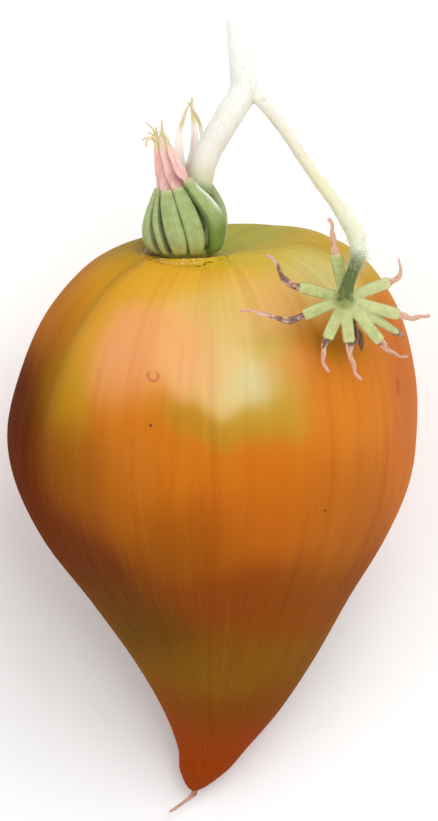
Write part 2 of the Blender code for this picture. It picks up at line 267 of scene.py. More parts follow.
# The two bunches that the crown's dried tips gather in: how far each leans at CROWN_HEIGHT, and how
# tall it stands next to a plain blade.
FRONT_BUNCH = (np.array((-5.2, -1.0, 0.0)), 1.0)
BACK_BUNCH = (np.array((0.6, 5.0, 0.0)), 1.14)

# Each crown sepal: angle, half its width, how far it turns round the crown as it rises, how much
# further out than a plain blade it swells, and its bunch.
CROWN_PLAN = (
    (28, 1.9, 27, 1.5, FRONT_BUNCH),
    (70, 1.6, 14, 1.0, FRONT_BUNCH),
    (97, 1.6, 28, 0.95, FRONT_BUNCH),
    (124, 1.3, 40, 0.9, FRONT_BUNCH),
    (152, 1.4, 34, 0.85, FRONT_BUNCH),
    (182, 1.7, 20, 0.85, FRONT_BUNCH),
    (216, 2.0, 5, 0.95, FRONT_BUNCH),
    (254, 2.1, 0, 1.0, BACK_BUNCH),
    (298, 2.1, -14, 1.0, BACK_BUNCH),
    (342, 2.0, -42, 1.12, BACK_BUNCH),
)

# A crown sepal's middle line: distance from its bunch's axis, height, share of the half width, and
# half thickness. The last three rows are the dried tip.
CROWN_BLADE = (
    (4.6, 0.3, 0.60, 0.80),
    (6.8, 1.2, 0.80, 1.00),
    (7.5, 3.8, 1.00, 1.05),
    (7.1, 7.0, 0.98, 1.05),
    (5.4, 10.4, 0.85, 0.95),
    (3.6, 13.6, 0.62, 0.72),
    (2.6, 17.0, 0.48, 0.55),
    (2.1, 20.0, 0.40, 0.45),
    (1.6, 22.5, 0.32, 0.40),
)

# How high each crown sepal stays green, and its width next to the plan's.
CROWN_EDGES = (
    (15.2, 1.3),
    (13.6, 1.22),
    (12.9, 1.22),
    (13.2, 0.6),
    (13.0, 1.05),
    (13.0, 1.2),
    (13.4, 1.3),
    (15.5, 1.4),
    (16.5, 1.4),
    (17.0, 1.3),
)

# How each crown sepal's dried tip goes on: the direction in which its thread curls, the total bend in
# degrees, the thread's length, and how far the tip stands to the right midway.
CROWN_CURLS = (
    (185, 100, 4.5, -0.4),
    (100, 20, 3.8, 0.0),
    (170, 200, 4.5, 0.0),
    (190, 130, 4.0, 0.0),
    (190, 60, 4.5, 0.0),
    (150, 20, 4.0, 0.0),
    (190, 80, 4.0, 0.0),
    (0, 35, 4.5, -1.2),
    (0, 10, 4.0, 0.8),
    (190, 25, 4.0, 1.7),
)

# The width of a dried tip next to its blade's, in the front and the back bunch: places along the tip
# from 0 to 1, and the factors there.
FRONT_WIDENING = ((0.0, 0.12, 0.35, 1.0), (0.95, 1.35, 2.1, 2.2))
BACK_WIDENING = ((0.0, 0.12, 0.35, 1.0), (0.95, 1.2, 1.0, 0.7))

# Stem routes: x, y, z and radius. The first runs from the cut end through the fork to the fruit, the
# second from the fork over the shoulder to the star.
MAIN_STEM = (
    (4.9, 4.0, 83.0, 1.9),
    (5.5, 3.6, 77.6, 2.2),
    (6.4, 3.0, 72.1, 2.6),
    (6.6, 2.4, 68.4, 2.9),
    (4.3, 0.8, 64.6, 2.85),
    (1.3, -0.9, 59.7, 2.75),
    (-1.2, -2.2, 55.2, 2.75),
    (-2.4, -3.1, 50.4, 2.75),
    (-3.3, -3.5, 44.8, 2.75),
    (-4.5, -4.0, 38.6, 2.85),
    (-5.0, -4.0, 35.6, 2.95),
)
SIDE_BRANCH = (
    (6.2, 2.2, 68.8, 1.6),
    (9.4, 1.5, 67.0, 1.25),
    (12.0, -1.0, 64.4, 1.2),
    (15.1, -5.0, 60.8, 1.2),
    (20.5, -14.5, 53.5, 1.2),
    (24.9, -23.5, 48.3, 1.35),
    (27.2, -30.0, 45.4, 1.75),
    (28.2, -33.0, 43.4, 1.75),
    (28.3, -36.4, 41.0, 1.35),
    (27.6, -38.4, 38.8, 1.15),
    (26.5, -38.9, 36.0, 1.25),
    (25.9, -37.2, 33.2, 1.45),
)

# Each sepal of the star: clock direction in degrees from straight up, green length, dried length,
# turn of the dried tip in degrees, how far its end leans to the back, and the brown share of its tip.
STAR_SEPALS = (
    (-12, 9.0, 7.0, -4, -1.0, 0.0),
    (-75, 9.2, 9.8, 40, -4.0, 0.75),
    (-112, 8.8, 12.4, 36, -5.0, 0.5),
    (-157, 8.6, 6.4, -38, -2.0, 0.3),
    (174, 8.8, 7.6, -22, -1.0, 0.18),
    (141, 11.4, 6.4, -34, 3.0, 0.15),
    (125, 13.0, 1.4, -10, 4.5, 1.0),
    (108, 11.4, 6.0, -30, 3.0, 0.0),
    (70, 9.4, 5.2, -76, 1.0, 0.0),
)

# How far along the side branch its dark green neck starts, and the stretch of short hairs before it
NECK_START = 56.2
SHORT_HAIRS_START = 46
SHORT_HAIR = 1.8

# The stem's hairs: how many and how long at most, then the fuzz where the neck starts
SIDE_HAIRS = (150, 5.0)
MAIN_HAIRS = (90, 2.2)
FUZZ_COUNT = 320
FUZZ_SPREAD = 1.4
HAIR_RADIUS = 0.045
FUZZ_RADIUS = 0.03
DOWN_RADIUS = 0.022

# The angles of a hair's three sides, in radians
HAIR_SIDES = (0.0, 2.094, 4.189)

# The colours along the stem, in mm from the cut end and from the fork
MAIN_STEM_COLOURS = (
    (0, (248, 248, 246)),
    (14, (240, 239, 232)),
    (31, (234, 229, 221)),
    (35, (214, 212, 180)),
    (38, (120, 138, 78)),
    (50, (72, 96, 40)),
)
SIDE_BRANCH_COLOURS = (
    (0, (240, 236, 226)),
    (14, (233, 228, 210)),
    (34, (233, 229, 194)),
    (44, (234, 232, 204)),
    (NECK_START - 2.0, (222, 225, 200)),
    (NECK_START + 1.0, (112, 124, 76)),
    (NECK_START + 2.5, (90, 104, 46)),
    (66, (108, 122, 56)),
)

# The middle lines of the withered flower and the style, from their roots: right, back and up, and then
# how wide the ribbons are next to each other, or the thread's radius
WITHERED_ROUTE = (
    (0.0, 0.0, 0.0, 1.0),
    (0.5, 1.6, -2.5, 0.8),
    (1.3, 2.0, -5.6, 0.8),
    (2.1, 1.7, -8.4, 1.2),
    (2.3, 1.3, -10.2, 0.6),
)
STYLE_ROUTE = (
    (0.0, 0.0, 0.5, 0.6),
    (0.0, 0.0, 0.0, 0.6),
    (-0.2, -0.1, -0.5, 0.5),
    (-1.5, -0.9, -1.4, 0.4),
    (-3.6, -2.2, -2.6, 0.34),
    (-5.2, -3.0, -3.4, 0.26),
)

# The values that each point of a shape has, by the names that the materials read
VALUES = ("along", "across", "tone")

# How many of a shape's points each point of its joined skin takes its values from
NEAREST_POINTS = 6

# The camera, in the hanging frame
CAMERA_TARGET = np.array((1.66, 0.0, 2.44))
CAMERA_DISTANCE = 568.0
CAMERA_ABOVE = math.radians(12)
CAMERA_LENS = 120.0
SENSOR_HEIGHT = 36.0

# The studio: each light's direction and distance in the hanging frame, its size and its power
WORLD_STRENGTH = 0.76
LIGHTS = {
    "key": ((0.42, -0.62, 0.82), 900, 620, 3.2),
    "fill": ((-0.7, -0.77, -0.13), 900, 600, 1.1),
    "front": ((0.2, -0.9, 0.39), 900, 240, 0.7),
}


def smooth_route(stations, places, closed_poles=False):
    """The rows at these places, from 0 to 1, along a Catmull-Rom spline through the stations."""
    rows = np.array(stations, float)
    before = 2 * rows[0] - rows[1]
    after = 2 * rows[-1] - rows[-2]
    if closed_poles:
        before, after = rows[1].copy(), rows[-2].copy()
        before[0], after[0] = -before[0], -after[0]
    padded = np.vstack([before, rows, after])
    place = np.asarray(places, float) * (len(rows) - 1)
    i = np.minimum(place.astype(int), len(rows) - 2)
    t = (place - i)[:, None]
    a, b, c, d = (padded[i + k] for k in range(4))
    bend = (2 * a - 5 * b + 4 * c - d) * t + (3 * b - a - 3 * c + d) * t * t
    return b + 0.5 * t * (c - a + bend)


def outward(degrees):
    """The level direction at this angle round the fruit."""
    angle = math.radians(degrees)
    return np.array((math.cos(angle), -math.sin(angle), 0.0))


def unit(vectors):
    """The vectors at a length of 1."""
    return vectors / np.linalg.norm(vectors, axis=-1, keepdims=True)


def bump_at(values, middle, half_width):
    """A bell curve over the values, 1 high."""
    return np.exp(-(((values - middle) / half_width) ** 2))


def furrow_depths(degrees, shares):
    """How far the furrows pull the skin in: one row for each share of the outline."""
    depths = np.zeros((len(shares), len(degrees)))
    for middle, most, half_width, reach in FURROWS:
        turn = (degrees - middle + 180) % 360 - 180
        down = np.where(shares < reach, np.sin(math.pi * np.clip(shares / reach, 0, 1)), 0).clip(0)
        depths += most * np.outer(down**0.8, bump_at(turn, 0, half_width))
    return depths


def furrow_shade_lines(degrees, shares):
    """How much painted shade darkens the plainest furrow's middle: one row for each share."""
    middle, half_width, reach, most = FURROW_SHADE_LINE
    down = np.sin(math.pi * np.clip(shares / reach, 0, 1)) ** 0.7
    return most * np.outer(down, bump_at(degrees, middle, half_width))


def shoulder_lifts(degrees, shares, right):
    """How far the shoulder stands above its ring: it rises at the back and falls at the front."""
    lift = SHOULDER_TILT * right * (1 - shares / WIDEST_SHARE).clip(0)[:, None]
    along = (shares - SLOPE_START_SHARE) / (WIDEST_SHARE - SLOPE_START_SHARE)
    slope = np.sin(math.pi * along.clip(0, 1) ** SLOPE_SKEW)
    rise = SHOULDER_RISE * np.cos(np.radians(degrees - RISE_ANGLE))
    fall = FRONT_FALL * np.sin(np.radians(degrees)).clip(0) ** 2
    return lift + np.outer(slope, rise - fall)


def skin_grid(degrees, shares):
    """Points on the furrowed skin in the hanging frame: one row of points for each share."""
    outline = smooth_route(FRUIT_OUTLINE, shares, closed_poles=True)
    radii = (outline[:, :1] - furrow_depths(degrees, shares)).clip(0)
    angles = np.radians(degrees)
    right = radii * np.cos(angles)
    front = radii * np.sin(angles)
    lift = shoulder_lifts(degrees, shares, right)
    return np.stack(
        [outline[:, 2:3] + right, outline[:, 3:4] - front, outline[:, 1:2] + lift], axis=-1
    )


def hanging_origin():
    """Where the hanging frame's origin lies, from the highest corner of the fruit's solid."""
    degrees = np.arange(SOLID_SEGMENTS) * 360 / SOLID_SEGMENTS
    laid = skin_grid(degrees, np.linspace(0, 1, SOLID_RINGS + 1)) @ LAY.T * MM
    return np.array(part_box("fruit")[1]) - laid.reshape(-1, 3).max(axis=0)


ORIGIN = hanging_origin()


def laid(points):
    """Points of the hanging frame, in mm, laid down in the row's frame, in metres."""
    return np.asarray(points) @ LAY.T * MM + ORIGIN


class Shape:
    """Points, faces and the values at each point."""

    def __init__(self):
        self.points = []
        self.faces = []
        self.values = []

    def add(self, points, faces, along=0.0, across=0.0, tone=0.0):
        start = len(self.points)
        self.points.extend(map(tuple, points))
        self.faces.extend(tuple(start + k for k in face) for face in faces)
        columns = [np.broadcast_to(value, len(points)) for value in (along, across, tone)]
        self.values.extend(zip(*columns))


def loft(shape, rings, along, tone=0.0):
    """Adds a closed skin over rings of points, each end closed by a fan round its middle."""
    count, sides = rings.shape[:2]
    points = np.vstack([rings.reshape(-1, 3), rings[0].mean(axis=0), rings[-1].mean(axis=0)])
    faces = []
    for i in range(count - 1):
        for k in range(sides):
            n = (k + 1) % sides
            faces.append((i * sides + k, i * sides + n, (i + 1) * sides + n, (i + 1) * sides + k))
    last = (count - 1) * sides
    for k in range(sides):
        n = (k + 1) % sides
        faces.append((count * sides, n, k))
        faces.append((count * sides + 1, last + k, last + n))
    around = np.cos(2 * math.pi * np.arange(sides) / sides)
    across = np.concatenate([np.tile(around, count), (0, 0)])
    alongs = np.concatenate([np.repeat(along, sides), (along[0], along[-1])])
    shape.add(points, faces, alongs, across, tone)


def route_rings(centres, widths, thins, facing, twists=None, sides=16, boxiness=1.0):
    """Oval sections of these half sizes along a route. A boxiness under 1 squares them off."""
    along = unit(np.gradient(centres, axis=0))
    angles = 2 * math.pi * np.arange(sides) / sides
    cosines = np.sign(np.cos(angles)) * np.abs(np.cos(angles)) ** boxiness
    sines = np.sign(np.sin(angles)) * np.abs(np.sin(angles)) ** boxiness
    facing = np.array(facing, float)
    rings = []
    for i, centre in enumerate(centres):
        facing = unit(facing - along[i] * (facing @ along[i]))
        twist = twists[i] if twists is not None else 0.0
        across = np.cross(along[i], facing)
        thick = facing * math.cos(twist) + across * math.sin(twist)
        wide = np.cross(along[i], thick)
        ring = centre + np.outer(widths[i] * cosines, wide)
        rings.append(ring + np.outer(thins[i] * sines, thick))
    return np.array(rings)


def placed(name, data):
    """A new object of the scene with this data."""
    thing = bpy.data.objects.new(name, data)
    bpy.context.scene.collection.objects.link(thing)
    return thing


def face_outwards(mesh):
    """Turns the mesh's faces to point out."""
    bm = bmesh.new()
    bm.from_mesh(mesh)
    bmesh.ops.recalc_face_normals(bm, faces=bm.faces)
    bm.to_mesh(mesh)
    bm.free()


def temporary_mesh(shape):
    mesh = bpy.data.meshes.new("temporary")
    mesh.from_pydata(shape.points, [], shape.faces)
    face_outwards(mesh)
    return mesh


def grown_together(shape, voxel, smoothing):
    """The shape's overlapping pieces as one smooth skin, with the values of the nearest points."""
    piece = placed("temporary", temporary_mesh(shape))
    remesh = piece.modifiers.new("one_skin", "REMESH")
    remesh.mode = "VOXEL"
    remesh.voxel_size = voxel
    smooth = piece.modifiers.new("smooth", "SMOOTH")
    smooth.iterations = smoothing
    bpy.context.view_layer.update()
    graph = bpy.context.evaluated_depsgraph_get()
    mesh = bpy.data.meshes.new_from_object(piece.evaluated_get(graph))
    bpy.data.objects.remove(piece)
    tree = KDTree(len(shape.points))
    for i, point in enumerate(shape.points):
        tree.insert(point, i)
    tree.balance()
    places = [tuple(vertex.co) for vertex in mesh.vertices]
    nearest = [[found[1] for found in tree.find_n(place, NEAREST_POINTS)] for place in places]
    values = np.array(shape.values, float)[nearest].mean(axis=1)
    grown = Shape()
    grown.add(places, [tuple(face.vertices) for face in mesh.polygons], *values.T)
    return grown


def make(name, shape, material, slot, node):
    """A piece of the scene from a shape, laid down, riding on the body and standing for the node."""
    mesh = bpy.data.meshes.new(name)
    mesh.from_pydata(laid(shape.points).tolist(), [], shape.faces)
    face_outwards(mesh)
    for column, label in zip(np.array(shape.values, float).T, VALUES):
        mesh.attributes.new(label, "FLOAT", "POINT").data.foreach_set("value", column)
    mesh.shade_smooth()
    mesh.materials.append(material)
    piece = placed(name, mesh)
    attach(piece, BODY)
    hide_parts(node)
    return piece


def linear(shares):
    """A colour's values of 0 to 1 as the linear values that a shader takes."""
    shares = np.asarray(shares)
    return np.where(shares <= 0.04045, shares / 12.92, ((shares + 0.055) / 1.055) ** 2.4)


class Look:
    """A material's node tree, with a short call for each kind of node that it uses."""

    def __init__(self, name):
        self.material = bpy.data.materials.new(name)
        self.material.use_nodes = True
        self.nodes = self.material.node_tree.nodes
        self.links = self.material.node_tree.links
        self.shader = self.nodes["Principled BSDF"]

    def feed(self, socket, value):
        if isinstance(value, bpy.types.NodeSocket):
            self.links.new(value, socket)
        elif isinstance(value, tuple) and len(value) == 3 and socket.type == "RGBA":
            socket.default_value = (*linear(np.array(value) / 255), 1)
        else:
            socket.default_value = value

    def node(self, kind, *values, **settings):
        """A new node, with these settings and with its first inputs fed in order."""
        made = self.nodes.new(kind)
        for name, value in settings.items():
            setattr(made, name, value)
        for socket, value in zip(made.inputs, values):
            self.feed(socket, value)
        return made

    def set(self, **values):
        """Sets or links sockets of the shader, whose names have an underscore for each space."""
        for name, value in values.items():
            self.feed(self.shader.inputs[name.replace("_", " ")], value)

    def translucent(self, weight, depths, scale):
        """Light spreads this far under the surface, in mm, in each colour's share of the scale."""
        self.set(Subsurface_Weight=weight, Subsurface_Radius=depths, Subsurface_Scale=scale * MM)

    def attribute(self, name, output="Fac"):
        return self.node("ShaderNodeAttribute", attribute_name=name).outputs[output]

    def hanging(self):
        """The place in the hanging frame, in mm."""
        turn = Matrix(LAY.tolist()).transposed()
        place = self.node("ShaderNodeTexCoord").outputs["Object"]
        shift = turn @ Vector(-ORIGIN / MM)
        mapping = self.node("ShaderNodeMapping", place, shift, turn.to_euler(), (1 / MM,) * 3)
        return mapping.outputs["Vector"]

    def math(self, operation, *values):
        return self.node("ShaderNodeMath", *values, operation=operation).outputs[0]

    def times(self, first, second):
        return self.math("MULTIPLY", first, second)

    def vector(self, operation, *values):
        made = self.node("ShaderNodeVectorMath", *values, operation=operation)
        return made.outputs["Value" if operation in ("LENGTH", "DISTANCE") else "Vector"]

    def combine(self, x, y, z):
        return self.node("ShaderNodeCombineXYZ", x, y, z).outputs[0]

    def remap(self, value, low, high, start=0.0, end=1.0, kind="SMOOTHSTEP"):
        made = self.node("ShaderNodeMapRange", value, low, high, start, end, interpolation_type=kind)
        return made.outputs["Result"]

    def noise(self, vector, scale, detail=2.0, roughness=0.5):
        made = self.node("ShaderNodeTexNoise", vector, 0.0, scale, detail, roughness)
        return made.outputs["Fac"]

    def mix(self, share, first, second, blend="MIX"):
        made = self.node("ShaderNodeMix", share, data_type="RGBA", blend_type=blend)
        for socket, colour in zip([s for s in made.inputs if s.type == "RGBA"], (first, second)):
            self.feed(socket, colour)
        return next(s for s in made.outputs if s.type == "RGBA")

    def tinted(self, colour, tint):
        return self.mix(1.0, colour, tint, blend="MULTIPLY")

    def within(self, *ranges):
        """The product of its remapped values: one for each value and its range."""
        product = self.remap(*ranges[0])
        for row in ranges[1:]:
            product = self.times(product, self.remap(*row))
        return product

    def over(self, colour, cover, value, low, high, most=1.0):
        """The colour, covered by at most this share as the value goes from low to high."""
        return self.mix(self.remap(value, low, high, 0.0, most), colour, cover)

    def ramp(self, value, stops):
        """Colours along a value, from stops of place and colour."""
        low, high = stops[0][0], stops[-1][0]
        made = self.node("ShaderNodeValToRGB")
        self.feed(made.inputs[0], self.remap(value, low, high, kind="LINEAR"))
        made.color_ramp.interpolation = "EASE"
        points = made.color_ramp.elements
        while len(points) < len(stops):
            points.new(0.5)
        for point, (place, colour) in zip(points, stops):
            point.position = (place - low) / (high - low)
            point.color = (*linear(np.array(colour) / 255), 1)
        return made.outputs["Color"]

    def relief(self, *layers):
        """Bumps the surface by each layer's height, its distance in mm and its strength."""
        made = None
        for height, distance, strength in layers:
            under = made
            made = self.node("ShaderNodeBump")
            self.feed(made.inputs["Height"], height)
            made.inputs["Distance"].default_value = distance * MM
            made.inputs["Strength"].default_value = strength
            if under is not None:
                self.links.new(under.outputs[0], made.inputs["Normal"])
        self.set(Normal=made.outputs[0])


def patch_colours(points):
    """The skin's colour at each point: the patches weighed by nearness, over the ground colour."""
    noise.seed_set(PATCH_WANDER_SEED)
    wander = np.array([noise.noise_vector(Vector(point) * PATCH_WANDER_SCALE) for point in points])
    wandering = points + wander * PATCH_WANDER
    angles = np.arctan2(points[:, 1], points[:, 0])
    feather = [noise.noise(Vector((math.cos(a), math.sin(a), 0.0)) * FEATHER_SCALE) for a in angles]
    wandering[:, 2] += FEATHER_REACH * np.array(feather)
    heights, tints = zip(*SKIN_GROUND)
    ground = [np.interp(wandering[:, 2], heights, channel) for channel in np.array(tints, float).T]
    total = np.full((len(points), 1), GROUND_WEIGHT)
    colours = np.stack(ground, axis=1) * GROUND_WEIGHT
    for middle, reach, tint in SKIN_PATCHES:
        offset = (wandering - middle) / (np.array(reach) * PATCH_SOFTNESS)
        weight = np.exp(-(offset**2).sum(axis=1, keepdims=True))
        colours += weight * tint
        total += weight
    return colours / total


def skin_look():
    """Thin glossy skin in soft patches, with streaks that run from the stem to the tip."""
    look = Look("tomato_skin")
    place = look.hanging()
    x, y, z = look.node("ShaderNodeSeparateXYZ", place).outputs
    level = look.combine(x, y, 0.0)
    around = look.vector("NORMALIZE", level)
    down = look.combine(0.0, 0.0, look.times(z, STREAK_STRETCH))
    streak_place = look.vector("MULTIPLY_ADD", around, (STREAKS_ROUND,) * 3, down)
    streaks = look.noise(streak_place, 1.5, detail=3, roughness=0.5)
    fine_streaks = look.noise(streak_place, 7.0, detail=3, roughness=0.6)

    colour = look.attribute("ground", "Color")
    colour = look.over(colour, look.tinted(colour, (226, 190, 170)), streaks, 0.45, 0.75, 0.3)
    pale = look.mix(0.25, colour, (236, 206, 120))
    colour = look.over(colour, pale, fine_streaks, 0.48, 0.75, 0.11)

    cells = look.node("ShaderNodeTexVoronoi", place, 0.0, 0.55)
    colour = look.over(colour, (240, 214, 140), cells.outputs["Distance"], 0.14, 0.04, 0.06)
    for middle, reach in SKIN_SPECKS:
        distance = look.vector("DISTANCE", place, middle)
        colour = look.over(colour, (62, 26, 16), distance, reach, reach * 0.5)
    middle, radius = RING_MARK
    seen = look.vector("MULTIPLY", look.vector("SUBTRACT", place, middle), (1.0, 0.0, 1.0))
    off_ring = look.math("ABSOLUTE", look.math("SUBTRACT", look.vector("LENGTH", seen), radius))
    open_top = (z, middle[2] + 1.0, middle[2] + 0.3)
    ring = look.within((off_ring, 0.4, 0.15, 0.0, 0.6), open_top, (y, *RING_FRONT))
    colour = look.mix(ring, colour, (176, 92, 78))
    middle, reach = RED_STREAK
    offset = look.vector("DIVIDE", look.vector("SUBTRACT", place, middle), reach)
    colour = look.over(colour, (168, 62, 40), look.vector("LENGTH", offset), 1.0, 0.3, 0.5)

    crown_middle = (CROWN_BASE[0], CROWN_BASE[1], 0.0)
    from_crown = look.vector("DISTANCE", level, crown_middle)
    uneven = look.remap(look.noise(place, 0.35, detail=2), 0.3, 0.7, -1.0, 1.0, kind="LINEAR")
    from_crown = look.math("ADD", from_crown, uneven)
    off_cork = look.math("ABSOLUTE", look.math("SUBTRACT", from_crown, CORK_DISTANCE))
    on_top = (z, *SHOULDER_TOP)
    crumbs = look.noise(place, 1.1, detail=4, roughness=0.65)
    cork = look.within((off_cork, CORK_HALF_WIDTH, 0.3), (crumbs, 0.48, 0.6), on_top)
    colour = look.mix(look.times(cork, 0.75), colour, (226, 200, 146))
    off_crack = look.math("SUBTRACT", from_crown, CORK_DISTANCE + CRACK_OFFSET)
    line = (look.math("ABSOLUTE", off_crack), 0.6, 0.15)
    breaks = (look.noise(place, 1.3, detail=3), 0.52, 0.6)
    in_front = (y, CROWN_BASE[1] - 4.0, CROWN_BASE[1] - 8.0)
    crack = look.within(line, breaks, in_front, on_top)
    colour = look.mix(look.times(crack, 0.9), colour, (62, 46, 20))

    look.set(Base_Color=colour)
    gloss = look.remap(fine_streaks, 0.3, 0.7, 0.34, 0.42)
    look.set(Roughness=look.math("ADD", gloss, look.times(cork, 0.35)))
    look.translucent(0.15, (1.0, 0.4, 0.12), 2.0)
    shine = look.within((x, *DULL_FLANK, 0.3, 1.0), (z, *DULL_FOOT, 0.07, 0.16))
    look.set(Specular_IOR_Level=0.0, Coat_Weight=shine, Coat_Roughness=0.3)
    look.relief((streaks, 0.12, 0.4), (look.noise(place, 2.4, detail=3), 0.02, 0.5))
    return look.material


def sepal_look(name, root, body, tip, shade_lift, green_and_sheen=0.0):
    """Soft green tissue with pale veins along it, darker at the root, with painted shade towards the
    edges.

    Each next sepal of the plan is paler by the given share. This is painted light, which lifts the
    crown's left sepals out of their shade.
    The first sepal has a deeper green foot and a painted sheen, a pale highlight, on its upper middle.
    """
    look = Look(name)
    place = look.hanging()
    along, across, tone = map(look.attribute, VALUES)
    colour = look.ramp(along, ((0.0, root), (0.3, body), (0.9, body), (1.0, tip)))
    veins = look.combine(look.times(across, 3.0), look.times(along, 0.4), tone)
    fibres = look.noise(veins, 1.6, detail=4, roughness=0.6)
    colour = look.over(colour, (190, 208, 150), fibres, 0.45, 0.7, 0.3)
    mottle = look.noise(place, 0.7, detail=3, roughness=0.55)
    colour = look.over(colour, look.tinted(colour, (176, 190, 150)), mottle, 0.4, 0.7, 0.4)
    # Painted shade towards each sepal's edges, where the gaps between sepals lie in shade.
    edge_shade = look.tinted(colour, (110, 122, 88))
    colour = look.over(colour, edge_shade, look.math("ABSOLUTE", across), 0.8, 1.0, 0.6)
    # Painted light: each next sepal is paler, which lifts the crown's left sepals out of their shade.
    colour = look.mix(look.times(tone, shade_lift), colour, (236, 238, 196))
    # The first sepal's mask, at the given share: for its deeper green foot and its painted sheen.
    first = ((tone, 0.2, 0.1, 0.0, green_and_sheen, "LINEAR"), (tone, 0.0, 0.1, 0.0, 1.0, "LINEAR"))
    colour = look.mix(look.within(*first, (along, 0.65, 0.3)), colour, (112, 142, 62))
    # Painted sheen: a pale highlight on the first sepal's upper middle.
    middle = ((along, 0.45, 0.65), (along, 0.98, 0.85), (across, -0.1, 0.6))
    colour = look.mix(look.within(*first, *middle), colour, (228, 236, 216))
    look.set(Base_Color=colour, Roughness=0.62, Specular_IOR_Level=0.3)
    look.translucent(0.12, (0.5, 1.0, 0.25), 1.0)
    look.relief((fibres, 0.1, 0.7), (look.noise(place, 3.2, detail=3), 0.05, 0.7))
    return look.material


def stem_look():
    """Pale stem skin with fine lines along it, dark green on the neck that holds the star."""
    look = Look("stem_skin")
    place = look.hanging()
    along, across, branch = map(look.attribute, VALUES)
    main = look.ramp(along, MAIN_STEM_COLOURS)
    colour = look.mix(branch, main, look.ramp(along, SIDE_BRANCH_COLOURS))
    lines = look.combine(look.times(across, 3.5), look.times(along, 0.1), branch)
    fibres = look.noise(lines, 2.4, detail=4, roughness=0.65)
    green = look.tinted(colour, (224, 226, 204))
    colour = look.over(colour, green, fibres, 0.42, 0.72, 0.4)
    mottle = look.noise(place, 0.8, detail=4, roughness=0.6)
    colour = look.over(colour, green, mottle, 0.45, 0.75, 0.25)
    look.set(Base_Color=colour, Roughness=0.6)
    look.translucent(0.2, (0.8, 1.0, 0.4), 1.0)
    look.relief((fibres, 0.1, 0.8), (look.noise(place, 3.0, detail=3), 0.06, 0.6))
    return look.material


def crown_tip_look():
    """Papery pink tissue with pale streaks along it, which turns cream on the free threads."""
    look = Look("dried_crown_tips")
    place = look.hanging()
    along, tone = map(look.attribute, ("along", "tone"))
    rosy = look.over((222, 172, 168), (240, 196, 186), along, 0.1, 0.45)
    in_front = look.times(look.math("SUBTRACT", tone, 1.0), 2.0)
    colour = look.mix(in_front, (246, 238, 231), rosy)
    colour = look.over(colour, (214, 198, 148), along, 0.55, 0.8)
    colour = look.over(colour, (200, 186, 152), along, 0.12, 0.0)
    tall = look.vector("MULTIPLY", place, (1.0, 1.0, 0.14))
    fibres = look.noise(tall, 1.5, detail=3, roughness=0.6)
    colour = look.over(colour, (248, 232, 224), fibres, 0.4, 0.7, 0.4)
    folds = look.noise(tall, 0.6, detail=2)
    colour = look.over(colour, look.tinted(colour, (226, 176, 166)), folds, 0.5, 0.75, 0.5)
    look.set(Base_Color=colour, Roughness=0.8)
    look.translucent(0.3, (1.0, 0.7, 0.6), 0.8)
    look.relief((fibres, 0.08, 0.8))
    return look.material


def dried_look(name, brown, light):
    """Papery dried tissue: the tone value says how much of it, from its root, is brown."""
    look = Look(name)
    place = look.hanging()
    along, across, tone = map(look.attribute, VALUES)
    wavy = look.math("ADD", along, look.remap(look.noise(place, 0.7, detail=3), 0.3, 0.7, -0.1, 0.1))
    rooted = (look.math("SUBTRACT", tone, wavy), -0.06, 0.04)
    blotches = (look.noise(place, 0.8, detail=2), 0.62, 0.54, 0.35, 1.0)
    colour = look.mix(look.within(rooted, blotches), light, brown)
    lines = look.combine(look.times(across, 2.0), look.times(along, 3.0), tone)
    wrinkles = look.noise(lines, 1.6, detail=5, roughness=0.7)
    colour = look.over(colour, look.tinted(colour, (150, 112, 100)), wrinkles, 0.45, 0.65, 0.7)
    pale = look.mix(0.6, colour, (236, 206, 186))
    colour = look.over(colour, pale, wrinkles, 0.46, 0.34, 0.7)
    look.set(Base_Color=colour, Roughness=0.75)
    look.translucent(0.15, (1.0, 0.6, 0.4), 0.6)
    look.relief((wrinkles, 0.15, 1.0))
    return look.material


def hair_look():
    """Fine pale hairs, greener where their tone is higher."""
    look = Look("stem_hairs")
    along, tone = map(look.attribute, ("along", "tone"))
    pale = look.mix(along, (222, 220, 176), (240, 238, 214))
    colour = look.mix(tone, pale, (150, 172, 118))
    look.set(Base_Color=colour, Roughness=0.5, Sheen_Weight=0.2)
    look.translucent(0.3, (1.0, 1.0, 0.6), 0.3)
    return look.material


